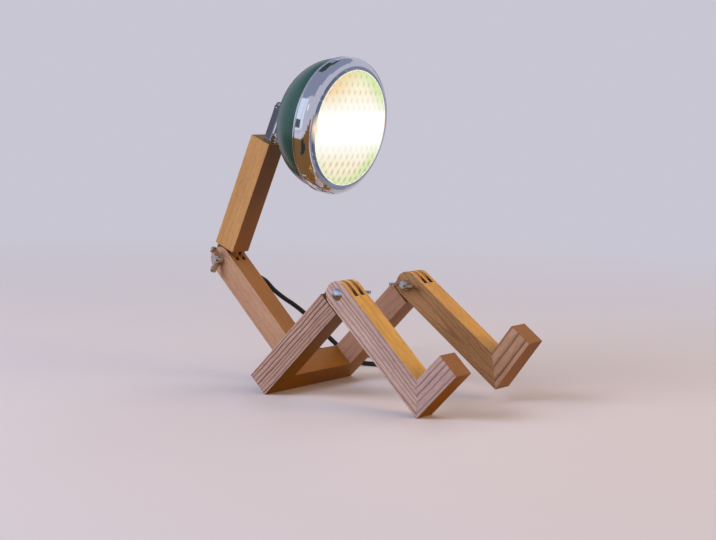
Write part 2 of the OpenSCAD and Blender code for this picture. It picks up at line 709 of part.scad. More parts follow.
module plug_outline() {
    w = plug_w / 2;
    l = plug_len - relief_len + 1;
    polygon([
        [0, relief_r + 1], [grip_len, relief_r + 3], [l - plug_corner * 2, w], [l - plug_corner, w],
        [l, w - plug_corner], [l, plug_corner - w], [l - plug_corner, -w], [l - plug_corner * 2, -w],
        [grip_len, -relief_r - 3], [0, -relief_r - 1]
    ]);
}

module plug_pins() color("silver") plug_frame() at_pins() {
    cylinder(d = plug_pin_d, h = plug_pin_in + plug_pin_len - 1);
    translate([0, 0, plug_pin_in + plug_pin_len - 1])
        cylinder(d1 = plug_pin_d, d2 = plug_pin_d - plug_tip, h = 1);
}

crossbar();
right_thigh();
left_thigh();
frame_dowels();
hip_stub();
right_calf();
right_foot();
right_ankle_dowels();
right_knee_bolt();
right_knee_washer();
right_knee_wing_nut();
left_calf();
left_foot();
left_ankle_dowels();
left_knee_bolt();
left_knee_washer();
left_knee_wing_nut();
lower_torso();
hip_bolt();
hip_washer();
hip_wing_nut();
waist_bolt();
waist_washer();
waist_wing_nut();
cord_grommet();
upper_torso();
neck_nipple();
neck_ring_nut();
neck_fork();
tilt_screw();
tilt_nut();
head_lug();
stem_nut();
head_shell();
head_rim();
lens();
lens_gasket();
reflector();
bulb_holder();
bulb();
cord_hanging();
cord_on_table();
cord_coil();
cord_to_plug();
plug_body();
plug_pins();
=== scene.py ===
"""Visual model of a timber desk lamp shaped like a seated figure, dressed over its CAD solids.

Everything is in metres in the row frame: +X is the way the lamp faces, +Y its left hand, +Z up, and it stands on
Z = 0.
"""

import json
import logging
import math
from dataclasses import dataclass, field
from enum import Enum

import bpy
from mathutils import Matrix, Vector

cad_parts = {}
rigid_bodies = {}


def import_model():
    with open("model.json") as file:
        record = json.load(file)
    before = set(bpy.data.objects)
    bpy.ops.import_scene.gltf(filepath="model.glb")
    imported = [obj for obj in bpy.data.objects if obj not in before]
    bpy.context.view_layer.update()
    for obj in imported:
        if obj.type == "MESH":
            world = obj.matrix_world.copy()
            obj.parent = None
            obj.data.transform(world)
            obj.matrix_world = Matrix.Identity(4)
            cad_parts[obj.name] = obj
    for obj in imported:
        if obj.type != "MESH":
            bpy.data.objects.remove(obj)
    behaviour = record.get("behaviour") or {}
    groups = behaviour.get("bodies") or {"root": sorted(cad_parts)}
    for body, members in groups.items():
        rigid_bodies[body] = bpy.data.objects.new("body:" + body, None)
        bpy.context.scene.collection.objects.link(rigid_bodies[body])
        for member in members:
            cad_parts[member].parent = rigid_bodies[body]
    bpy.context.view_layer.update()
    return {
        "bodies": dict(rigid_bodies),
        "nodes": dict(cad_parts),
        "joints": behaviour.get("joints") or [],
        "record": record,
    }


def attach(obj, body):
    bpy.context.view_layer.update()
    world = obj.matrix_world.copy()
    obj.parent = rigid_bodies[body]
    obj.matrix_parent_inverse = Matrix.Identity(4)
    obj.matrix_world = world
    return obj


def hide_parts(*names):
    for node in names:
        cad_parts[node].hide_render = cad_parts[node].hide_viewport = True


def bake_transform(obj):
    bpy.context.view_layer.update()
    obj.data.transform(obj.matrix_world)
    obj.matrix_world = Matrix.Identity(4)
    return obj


LOG = logging.getLogger("lamp")
MM = 0.001
CENTRE_X = 52.083  # mm from the lower edge of the seat to the middle of the lamp's box
BAR = 25.0  # mm, side of the square timber
Socket = bpy.types.NodeSocket
Colour = tuple[float, float, float, float]
Point = tuple[float, float, float]
Span = tuple[float, float]


def from_seat(x: float, y: float, z: float) -> Vector:
    """Turn a point given in mm from the seat's lower edge into row-frame metres.

    Args:
        x: mm ahead of the seat's lower edge.
        y: mm to the lamp's left.
        z: mm above the floor.

    Returns:
        The point in metres in the row frame.
    """
    return Vector(((x - CENTRE_X) * MM, y * MM, z * MM))


def linear(hex_colour: str) -> Colour:
    """Turn an sRGB hex colour into linear RGBA.

    Args:
        hex_colour: Colour such as "#B88F6B".

    Returns:
        Linear red, green, blue and an alpha of 1.
    """
    digits = hex_colour.lstrip("#")
    parts = [int(digits[i : i + 2], 16) / 255 for i in (0, 2, 4)]
    values = [c / 12.92 if c <= 0.04045 else ((c + 0.055) / 1.055) ** 2.4 for c in parts]
    return (values[0], values[1], values[2], 1.0)


def deselect() -> None:
    """Clear the selection before an operator acts."""
    bpy.ops.object.select_all(action="DESELECT")


def settle(piece: bpy.types.Object, name: str, material: bpy.types.Material) -> bpy.types.Object:
    """Put a finished piece's place into its mesh, name it and dress it.

    Args:
        piece: The object to settle.
        name: Its name in the scene.
        material: The material it gets.

    Returns:
        The same object, at the origin.
    """
    deselect()
    piece.select_set(True)
    bpy.context.view_layer.objects.active = piece
    bpy.ops.object.transform_apply(location=True, rotation=True, scale=True)
    piece.name = name
    piece.data.materials.clear()
    piece.data.materials.append(material)
    return piece


class End(Enum):
    """The node in which a node tree ends."""

    MATERIAL = "ShaderNodeOutputMaterial"
    WORLD = "ShaderNodeOutputWorld"


class Tree:
    """A node tree with one way to add a node."""

    def __init__(self, tree: bpy.types.NodeTree, end: End) -> None:
        """Empty the tree and give it its output.

        Args:
            tree: The node tree of a material or a world.
            end: The output that it gets.
        """
        self.tree = tree
        tree.nodes.clear()
        self.end = tree.nodes.new(end.value)

    def feed(self, node: bpy.types.Node, inputs: dict[int | str, object]) -> None:
        """Link or set a node's inputs.

        Args:
            node: The node.
            inputs: Sockets or values by the input's name or number.
        """
        for key, value in inputs.items():
            if isinstance(value, Socket):
                self.tree.links.new(value, node.inputs[key])
            else:
                node.inputs[key].default_value = value

    def add(self, kind: str, inputs: dict[int | str, object], out: int | str = 0, **settings: object) -> Socket:
        """Add a node with its settings and links.

        Args:
            kind: Its type, after "ShaderNode".
            inputs: Sockets or values by the input's name or number.
            out: The output that is wanted, by name or number.
            **settings: Attributes of the node.

        Returns:
            That output of the new node.
        """
        node = self.tree.nodes.new("ShaderNode" + kind)
        for key, value in settings.items():
            setattr(node, key, value)
        self.feed(node, inputs)
        return node.outputs[out]

    def layered(self, colour: Socket | Colour, *layers: tuple[Socket, Socket | Colour]) -> Socket | Colour:
        """Lay colours over a colour, one after another.

        Args:
            colour: The lowest colour.
            *layers: Pairs of how much a colour covers, 0 to 1, and the colour.

        Returns:
            The colour that shows.
        """
        for cover, over in layers:
            colour = self.add("Mix", {0: cover, 6: colour, 7: over}, 2, data_type="RGBA")
        return colour

    def show(self, surface: Socket) -> None:
        """Link a shader to the tree's output."""
        self.tree.links.new(surface, self.end.inputs["Surface"])


class Graph(Tree):
    """A new material with a Principled shader."""

    def __init__(self, name: str) -> None:
        """Make the material.

        Args:
            name: Its name.
        """
        self.material = bpy.data.materials.new(name)
        self.material.use_nodes = True
        super().__init__(self.material.node_tree, End.MATERIAL)
        self.shader = self.tree.nodes.new("ShaderNodeBsdfPrincipled")
        self.show(self.shader.outputs[0])

    def set(self, **inputs: object) -> None:
        """Link or set inputs of the shader, with _ for a space in their names."""
        self.feed(self.shader, {key.replace("_", " "): value for key, value in inputs.items()})

    def local(self, origin: Vector, turn: float, scale: Point = (1, 1, 1)) -> Socket:
        """Return Object coordinates seen from a frame that is turned about Y.

        Args:
            origin: The frame's origin in the row frame.
            turn: Angle of its X axis above the horizontal, in radians.
            scale: What the local coordinates are multiplied by.

        Returns:
            The vector socket.
        """
        start = -(Matrix.Rotation(turn, 3, "Y") @ origin)
        coordinates = self.add("TexCoord", {}, "Object")
        framed = self.add("Mapping", {"Vector": coordinates, "Location": start, "Rotation": (0, turn, 0)})
        return self.add("Mapping", {"Vector": framed, "Scale": scale})


@dataclass(frozen=True)
class Grain:
    """Where a bar's grain runs: a point on its axis and the way it points."""

    origin: Vector
    turn: float  # radians above the horizontal
    crosswise: bool = False  # the bar runs from side to side

    def streaks(self, g: Graph, size: Span, detail: float = 1.0) -> Socket:
        """Return soft streaks that run along the grain.

        Args:
            g: The material's node graph.
            size: mm that a streak is long and wide.
            detail: How many finer layers there are.

        Returns:
            The streaks, 0 to 1 and mostly near 0.5.
        """
        along, across = (1 / (length * MM) for length in size)
        scale = (across, along, across) if self.crosswise else (along, across, across)
        place = g.local(self.origin, self.turn, scale)
        return g.add("TexNoise", {"Vector": place, "Scale": 1.0, "Detail": detail}, "Fac")

    def place(self, g: Graph) -> tuple[Socket, Socket, Socket]:
        """Return where a point lies in the bar: along the grain, to its left and up its side, in metres."""
        x, y, z = g.add("SeparateXYZ", {0: g.local(self.origin, self.turn)}).node.outputs
        return (y, x, z) if self.crosswise else (x, y, z)

    @property
    def axis(self) -> Vector:
        """The bar's direction."""
        return Vector((0, 1, 0)) if self.crosswise else Vector((math.cos(self.turn), 0, math.sin(self.turn)))


@dataclass(frozen=True)
class OiledOak:
    """Planed and oiled oak: dark growth lines along the bar, short dark pores and a soft satin sheen.

    The sides show the growth lines edge-on and the other faces the flat grain. Their colours hold painted light: pale
    and cool on the sides, as a window lights them, and honey to golden on the other faces, as the warm lamp and room
    light them, with darker brown as painted shade where they face away.
    """

    # side, side_line, face and face_line hold painted light: the side colours are pale and cool as the window lights
    # the sides, and the face colours warm as the lamp and room light the other faces
    side: str
    side_line: str
    face: str
    pitch: float  # mm between growth lines
    depth: float  # how dark the lines are on the sides
    spread: float  # mm that the lines wander
    offset: float = 0.0  # mm that the lines are moved by
    arch: float = 0.0  # mm that the lines run out along the bar, as in a flat-sawn board
    bow: float = 7.0  # mm, how round those arches are
    face_line: str = "#7C5220"
    # Colour of the painted shade in the narrow gaps between the fingers
    gap_shade: str = "#3A2410"
    # Share of a year, and how dark the wood is there: a soft start, dark late wood and a slow fade to early wood
    year: tuple[Span, ...] = ((0.0, 0.2), (0.10, 1.0), (0.24, 0.66), (0.40, 0.08), (0.90, 0.0))
    years: int = 80  # years below the bar's axis, so that they all count from above 0
    faintest: float = 0.55  # strength of the faintest year, beside 1 for the strongest
    on_face: float = 0.28  # how much of the lines shows on the other faces, beside 1 on the sides
    # Length and width in mm; fibres and pores are coarser than real, so that they show
    wave: Span = (83.3, 33.3)  # the lines' slow wander
    ripple: Span = (15.4, 16.7)  # their fine wander
    fibre: Span = (22.2, 0.77)
    pore: Span = (5.88, 0.667)
    cloud: Span = (62.5, 14.3)  # a darker patch

    def growth(self, g: Graph, grain: Grain) -> tuple[Socket, Socket]:
        """Return the dark growth lines and a number of each line's own strength.

        Args:
            g: The material's node graph.
            grain: Where the bar's grain runs.

        Returns:
            How dark a point is, 0 to 1, and the strength of its line.
        """
        along, _, place = grain.place(g)
        swell = (400, self.pitch / 0.42)  # wide and narrow years
        for size, width in ((self.wave, self.spread * 4), (self.ripple, self.spread * 0.8), (swell, self.pitch * 1.5)):
            off = g.add("Math", {0: grain.streaks(g, size), 1: 0.5}, operation="SUBTRACT")
            place = g.add("Math", {0: off, 1: width * MM, 2: place}, operation="MULTIPLY_ADD")
        if self.arch:
            square = g.add("Math", {0: place, 1: place}, operation="MULTIPLY")
            run = g.add("Math", {0: along, 1: self.pitch / self.arch}, operation="MULTIPLY")
            place = g.add("Math", {0: square, 1: 1 / (self.bow * MM), 2: run}, operation="MULTIPLY_ADD")
        first = self.offset / self.pitch + self.years
        ring = g.add("Math", {0: place, 1: 1 / (self.pitch * MM), 2: first}, operation="MULTIPLY_ADD")
        lines = g.add("ValToRGB", {0: g.add("Math", {0: ring}, operation="FRACT")})
        elements = lines.node.color_ramp.elements
        while len(elements) < len(self.year):
            elements.new(0.5)
        for element, (position, grey) in zip(elements, self.year):
            element.position = position
            element.color = (grey, grey, grey, 1.0)
        count = g.add("Math", {0: ring}, operation="FLOOR")
        each = g.add("TexWhiteNoise", {"W": count}, "Value", noise_dimensions="1D")
        return lines, g.add("Math", {0: each, 1: 1 - self.faintest, 2: self.faintest}, operation="MULTIPLY_ADD")

    def dress(self, name: str, grain: Grain) -> bpy.types.Material:
        """Make the wood for one bar, with its grain along the bar.

        Args:
            name: Name of the material.
            grain: Where the bar's grain runs.

        Returns:
            The material.
        """
        g = Graph(name)
        normal = g.add("TexCoord", {}, "Normal")
        sideways = g.add("Math", {0: g.add("SeparateXYZ", {0: normal}, "Y")}, operation="ABSOLUTE")
        # Painted light: faces that point sideways take the cool side colours and the others the warm face colours; the
        # growth lines also show stronger on the sides, as edge-on grain does
        on_side = g.add("MapRange", {0: sideways, 1: 0.55, 2: 0.80})
        dark = g.layered(linear(self.face_line), (on_side, linear(self.side_line)))

        lines, each = self.growth(g, grain)
        low = self.depth * self.on_face
        depth = g.add("Math", {0: on_side, 1: self.depth - low, 2: low}, operation="MULTIPLY_ADD")
        strength = g.add("Math", {0: lines, 1: each}, operation="MULTIPLY")
        strength = g.add("Math", {0: strength, 1: depth}, operation="MULTIPLY", use_clamp=True)
        fibre = grain.streaks(g, self.fibre, 3.0)
        fibres = g.add("MapRange", {0: fibre, 1: 0.34, 2: 0.60, 3: 0.24, 4: 0.0})
        pore = g.add("MapRange", {0: grain.streaks(g, self.pore), 1: 0.58, 2: 0.68})
        pores = g.add("Math", {0: pore, 1: 0.4}, operation="MULTIPLY")
        cloud = g.add("MapRange", {0: grain.streaks(g, self.cloud, 2.0), 1: 0.35, 2: 0.70, 4: 0.22})
        # End grain drinks the oil and turns darker
        facing = g.add("VectorMath", {0: normal, 1: grain.axis}, "Value", operation="DOT_PRODUCT")
        facing = g.add("Math", {0: facing}, operation="ABSOLUTE")
        end = g.add("MapRange", {0: facing, 1: 0.80, 2: 0.97, 4: 0.42})
        layers = [
            (on_side, linear(self.side)), (cloud, dark), (fibres, dark), (strength, dark), (pores, dark),
            (end, linear(self.face_line)),
        ]
        if not grain.crosswise:
            # Painted shade: the walls between the fingers, which lie deeper than the bar's own sides, are darkened as
            # the shadow in the narrow gaps
            out = g.add("Math", {0: grain.place(g)[1]}, operation="ABSOLUTE")
            deep = g.add("MapRange", {0: out, 1: 0.40 * BAR * MM, 2: 0.45 * BAR * MM, 3: 0.8, 4: 0.0})
            inner = g.add("Math", {0: deep, 1: on_side}, operation="MULTIPLY")
            layers.append((inner, linear(self.gap_shade)))

        height = g.add("Math", {0: fibre, 1: 0.5}, operation="MULTIPLY")
        for dip, share in ((pore, -0.8), (strength, -0.5)):
            height = g.add("Math", {0: dip, 1: share, 2: height}, operation="MULTIPLY_ADD")
        rounded = g.add("Bevel", {"Radius": 0.8 * MM}, samples=4)
        bump = {"Strength": 0.25, "Distance": 0.15 * MM, "Height": height, "Normal": rounded}
        rough = g.add("Math", {0: fibre, 1: 0.16, 2: 0.44}, operation="MULTIPLY_ADD")
        g.set(Base_Color=g.layered(linear(self.face), *layers), Roughness=rough, Normal=g.add("Bump", bump))
        g.set(Metallic=0.0, IOR=1.5, Coat_Weight=0.06, Coat_Roughness=0.4)
        return g.material


@dataclass(frozen=True)
class Metal:
    """Plated or polished steel, aluminium or brass; small patches of their own gloss make its glint a little uneven."""

    colour: str
    roughness: float
    unevenness: float
    bump: float = 0.0
    blotch: float = 3.846  # mm of a patch with its own gloss
    grit: float = 0.667  # mm of a grain of the plating

    def dress(self, name: str) -> bpy.types.Material:
        """Make the metal.

        Args:
            name: Name of the material.

        Returns:
            The material.
        """
        g = Graph(name)
        place = g.add("TexCoord", {}, "Object")
        blotch = g.add("TexNoise", {"Vector": place, "Scale": 1 / (self.blotch * MM), "Detail": 3.0}, "Fac")
        rough = g.add("Math", {0: blotch, 1: self.unevenness, 2: self.roughness}, operation="MULTIPLY_ADD")
        g.set(Base_Color=linear(self.colour), Metallic=1.0, Roughness=rough)
        if self.bump:
            grit = g.add("TexNoise", {"Vector": place, "Scale": 1 / (self.grit * MM), "Detail": 2.0}, "Fac")
            g.set(Normal=g.add("Bump", {"Strength": self.bump, "Distance": 0.05 * MM, "Height": grit}))
        return g.material


@dataclass(frozen=True)
class Moulded:
    """Moulded plastic, rubber, enamel or porcelain: one colour with a faint texture of its own."""

    colour: str
    roughness: float
    coat: float = 0.0
    bump: float = 0.1  # strength of the fine texture
    grit: float = 1.111  # mm of a bump in it
    cloud: float = 45.45  # mm of a paler or darker patch

    def dress(self, name: str) -> bpy.types.Material:
        """Make the plastic, rubber, enamel or porcelain.

        Args:
            name: Name of the material.

        Returns:
            The material.
        """
        g = Graph(name)
        place = g.add("TexCoord", {}, "Object")
        fine, slow = (
            g.add("TexNoise", {"Vector": place, "Scale": 1 / (size * MM), "Detail": 2.0}, "Fac")
            for size in (self.grit, self.cloud)
        )
        value = g.add("Math", {0: slow, 1: 0.24, 2: 0.88}, operation="MULTIPLY_ADD")
        shade = g.add("HueSaturation", {"Color": linear(self.colour), "Value": value})
        bump = g.add("Bump", {"Strength": self.bump, "Distance": 0.1 * MM, "Height": fine})
        rough = g.add("Math", {0: fine, 1: 0.1, 2: self.roughness - 0.05}, operation="MULTIPLY_ADD")
        g.set(Base_Color=shade, Roughness=rough, Normal=bump, Metallic=0.0)
        g.set(Coat_Weight=self.coat, Coat_Roughness=0.12)
        return g.material


@dataclass(frozen=True)
class PrismaticGlass:
    """Pressed glass with rows of small pillows, lit from behind by a warm bulb.

    The middle is blown out to white, and above and below it the pillows read as cream with tan shade between them. The
    glass picks up a little orange at its upper right-hand side and a glass green round the rest of its edge.
    """

    centre: Vector
    dip: float  # radians that the lens looks down
    radius: float = 57.0  # mm
    glow: float = 18.0  # added strength in the white middle
    lit_from: Point = (0.12, -0.13, 0.98)
    tilt: float = 0.10  # how much of the dome's own tilt is taken off the pillows' slopes
    middle: str = "#FFFFFA"
    cream: str = "#F7EED2"
    green: str = "#C4E296"
    orange: str = "#F0C486"
    shade: str = "#A4865A"
    ring: str = "#FFFEF4"
    wall: str = "#5E6678"
    warm: str = "#FFE6C4"

    def dress(self, name: str) -> bpy.types.Material:
        """Make the lit lens glass.

        Args:
            name: Name of the material.

        Returns:
            The material.
        """
        g = Graph(name)
        size = 1 / (self.radius * MM)
        place = g.local(self.centre, -self.dip, (size, size, size))
        _, side, up = g.add("SeparateXYZ", {0: place}).node.outputs
        flat = g.add("VectorMath", {0: place, 1: (0, 1, 1)}, operation="MULTIPLY")
        rim = g.add("VectorMath", {0: flat}, "Value", operation="LENGTH")

        # The white middle, with an edge that wanders a little, and how far a point is outside it
        blur = g.add("TexNoise", {"Vector": place, "Scale": 3.99, "Detail": 1.0}, "Fac")
        off = g.add("Math", {0: blur, 1: 0.12, 2: up}, operation="MULTIPLY_ADD")
        off = g.add("Math", {0: off, 1: 0.06}, operation="SUBTRACT")
        off = g.add("Math", {0: off}, operation="ABSOLUTE")
        outside = g.add("MapRange", {0: off, 1: 0.24, 2: 0.62})
        core = g.add("MapRange", {0: off, 1: 0.02, 2: 0.28, 3: 1.0, 4: 0.0})

        # Green round the edge, mostly on the lamp's left, and orange in the upper right-hand corner
        leftward = g.add("Math", {0: side, 1: 0.20, 2: rim}, operation="MULTIPLY_ADD")
        edge = g.add("MapRange", {0: leftward, 1: 0.74, 2: 1.0, 4: 0.75})
        corner = g.add("Math", {0: up, 1: side}, operation="SUBTRACT")
        corner = g.add("MapRange", {0: corner, 1: 0.733, 2: 1.333, 4: 0.65})
        edge, corner = (g.add("Math", {0: x, 1: outside}, operation="MULTIPLY") for x in (edge, corner))

        # The pillows' slopes: lit where they face up, shaded where they face down or to the lamp's left
        lie = g.add("TexCoord", {}, "Normal")
        above = g.add("VectorMath", {0: lie, 1: self.lit_from}, "Value", operation="DOT_PRODUCT")
        above = g.add("Math", {0: up, 1: -self.tilt, 2: above}, operation="MULTIPLY_ADD")
        slope = g.add("MapRange", {0: above, 1: -0.25, 2: -0.03, 3: 1.0, 4: 0.0})
        shade = g.add("Math", {0: outside, 1: 0.72, 2: 0.04}, operation="MULTIPLY_ADD")
        shade = g.add("Math", {0: shade, 1: slope}, operation="MULTIPLY")

        # A bright ring at the very edge, and the glass's side wall in the shade of the rim's lip
        ring = g.add("MapRange", {0: rim, 1: 0.975, 2: 0.99, 4: 0.75})
        axis = (math.cos(self.dip), 0.0, -math.sin(self.dip))
        ahead = g.add("VectorMath", {0: lie, 1: axis}, "Value", operation="DOT_PRODUCT")
        front = g.add("MapRange", {0: ahead, 1: 0.30, 2: 0.60})
        colour = g.layered(
            linear(self.middle), (outside, linear(self.cream)), (edge, linear(self.green)),
            (corner, linear(self.orange)), (shade, linear(self.shade)), (ring, linear(self.ring)),
        )
        colour = g.layered(linear(self.wall), (front, colour), (core, linear(self.warm)))

        # Warm light of the bulb: it lights the wood, and its white is past what a picture can hold
        strength = g.add("Math", {0: core, 1: 2.0}, operation="POWER")
        for part in (g.add("MapRange", {0: rim, 1: 0.70, 2: 0.96, 3: 1.0, 4: 0.0}), front):
            strength = g.add("Math", {0: strength, 1: part}, operation="MULTIPLY")
        strength = g.add("Math", {0: strength, 1: self.glow, 2: 1.0}, operation="MULTIPLY_ADD")
        g.set(Base_Color=linear("#20221C"), Roughness=0.12, Metallic=0.0, IOR=1.5)
        g.set(Emission_Color=colour, Emission_Strength=strength)
        return g.material


class Turn(Enum):
    """Angles of the limbs above the horizontal, in degrees."""

    SEAT = 45.9
    RIGHT_CALF = -43.629
    LEFT_CALF = -36.5
    BELLY = 135.25
    CHEST = 67.35
    HEAD = -8.2

    @property
    def radians(self) -> float:
        """The angle in radians."""
        return math.radians(self.value)


@dataclass(frozen=True)
class Bar:
    """One square bar of timber: the node it dresses, where its axis runs and which board it was cut from."""

    node: str
    point: Point  # mm from the seat's lower edge
    turn: float  # degrees above the horizontal
    wood: OiledOak
    crosswise: bool = False


# Pivots and the middle of the lens, X and Z in mm from the seat's lower edge
KNEE: Span = (84.97, 105.65)
HIP: Span = (-21.04, 33.61)
WAIST: Span = (-109.10, 120.91)
LENS: Span = (45.55, 259.65)
LEG = 58.5  # mm from the lamp's middle to the axis of a leg
SEAT_AXIS = 9.0  # mm ahead of the seat's lower edge and above it, where the axes of crossbar and thighs meet


@dataclass
class Timber:
    """All the timber: the seat frame, the legs, the torso and the dowels in the mitres."""

    bars: list[Bar] = field(default_factory=list)

    def __post_init__(self) -> None:
        """List the bars with the board that the photograph shows for each, and the painted light and shade on its
        faces.
        """
        # The third colour of each wood, for the faces that don't point sideways, is painted light: golden on the
        # calves' tops, as the lamp lights them, and darker brown as painted shade on the other bars' fronts
        thigh = OiledOak("#D4AF9C", "#4E2E24", "#94681F", pitch=3.3, depth=1.2, spread=1.2, offset=0.6)
        calf = OiledOak("#DEC3B4", "#764A46", "#F2C056", pitch=4.3, depth=0.95, spread=0.8, offset=1.5)
        foot = OiledOak("#D2B7AC", "#744A46", "#B4781E", pitch=5.2, depth=0.9, spread=0.8, offset=1.0)
        far = OiledOak("#B58C70", "#7A5440", "#BC8434", pitch=6.5, depth=0.35, spread=3.0)
        figured = OiledOak("#B68A5C", "#6C4628", "#E2AC4C", pitch=10.0, depth=0.62, spread=2.6, offset=2.0, arch=78.0)
        toe = OiledOak("#D0A480", "#5E3A2C", "#B0761E", pitch=7.6, depth=0.95, spread=1.0, offset=1.0)
        frame = OiledOak("#B08450", "#6E4A2C", "#A46C1C", pitch=6.0, depth=0.4, spread=1.6)
        chest = OiledOak("#D6A265", "#94683A", "#9C681E", pitch=7.0, depth=0.22, spread=2.0)
        belly = OiledOak("#CFA583", "#94664A", "#A87428", pitch=7.0, depth=0.3, spread=3.0, offset=3.0)
        self.bars += [
            Bar("crossbar", (SEAT_AXIS, 0, SEAT_AXIS), Turn.SEAT.value, frame, crosswise=True),
            Bar("right_thigh", (SEAT_AXIS, -LEG, SEAT_AXIS), Turn.SEAT.value, thigh),
            Bar("left_thigh", (SEAT_AXIS, LEG, SEAT_AXIS), Turn.SEAT.value, far),
            Bar("hip_stub", (HIP[0], 0, HIP[1]), Turn.SEAT.value + 90, belly),
            Bar("right_calf", (KNEE[0], -LEG, KNEE[1]), Turn.RIGHT_CALF.value, calf),
            Bar("left_calf", (KNEE[0], LEG, KNEE[1]), Turn.LEFT_CALF.value, figured),
            Bar("right_foot", (KNEE[0] + 101, -LEG, 0), Turn.RIGHT_CALF.value + 90, foot),
            Bar("left_foot", (KNEE[0] + 112, LEG, 20), Turn.LEFT_CALF.value + 90, toe),
            Bar("lower_torso", (HIP[0], 0, HIP[1]), Turn.BELLY.value, belly),
            Bar("upper_torso", (WAIST[0], 0, WAIST[1]), Turn.CHEST.value, chest),
        ]

    def build(self, frame: dict) -> None:
        """Dress every bar and the dowels.
        """
        for bar in self.bars:
            grain = Grain(from_seat(*bar.point), math.radians(bar.turn), bar.crosswise)
            dress_node(frame, bar.node, bar.wood.dress(f"oiled_oak_{bar.node}", grain))
        beech = OiledOak("#D9B98F", "#A9855C", "#CFA877", pitch=3.4, depth=0.2, spread=1.2)
        dowel = beech.dress("beech_dowel", Grain(Vector(), 0.0))
        for node in ("frame_dowels", "right_ankle_dowels", "left_ankle_dowels"):
            dress_node(frame, node, dowel)


def dress_node(frame: dict, node: str, material: bpy.types.Material) -> None:
    """Give a CAD node its material.

    Args:
        node: Name of the node.
        material: Its finish.
    """
    piece = frame["nodes"][node]
    for slot in piece.material_slots:
        slot.material = material
    if not piece.material_slots:
        piece.data.materials.append(material)
    LOG.info("dressed %s with %s", node, material.name)


@dataclass
class Hardware:
    """Carriage bolts, washers, wing nuts, and the small steel parts of the neck."""

    zinc: Metal = Metal("#C9C6BE", 0.14, 0.14, bump=0.08)
    chrome: Metal = Metal("#DDE2EA", 0.05, 0.03)
    # Painted reflection: the blue tint of this plate, on the bolt heads, stands in for the window that they mirror
    polished: Metal = Metal("#CBD3E4", 0.22, 0.08)
    joints: tuple[str, ...] = ("right_knee", "left_knee", "hip", "waist")

    def build(self, frame: dict) -> None:
        """Dress every steel piece.
        """
        zinc = self.zinc.dress("zinc_plated_steel")
        chrome = self.chrome.dress("polished_chrome")
        polished = self.polished.dress("polished_zinc_plate")
        for joint in self.joints:
            for piece, finish in (("bolt", polished), ("washer", zinc), ("wing_nut", zinc)):
                dress_node(frame, f"{joint}_{piece}", finish)
        for node in ("neck_nipple", "neck_ring_nut", "tilt_nut", "stem_nut"):
            dress_node(frame, node, zinc)
        for node in ("neck_fork", "tilt_screw", "head_lug", "head_rim"):
            dress_node(frame, node, chrome)


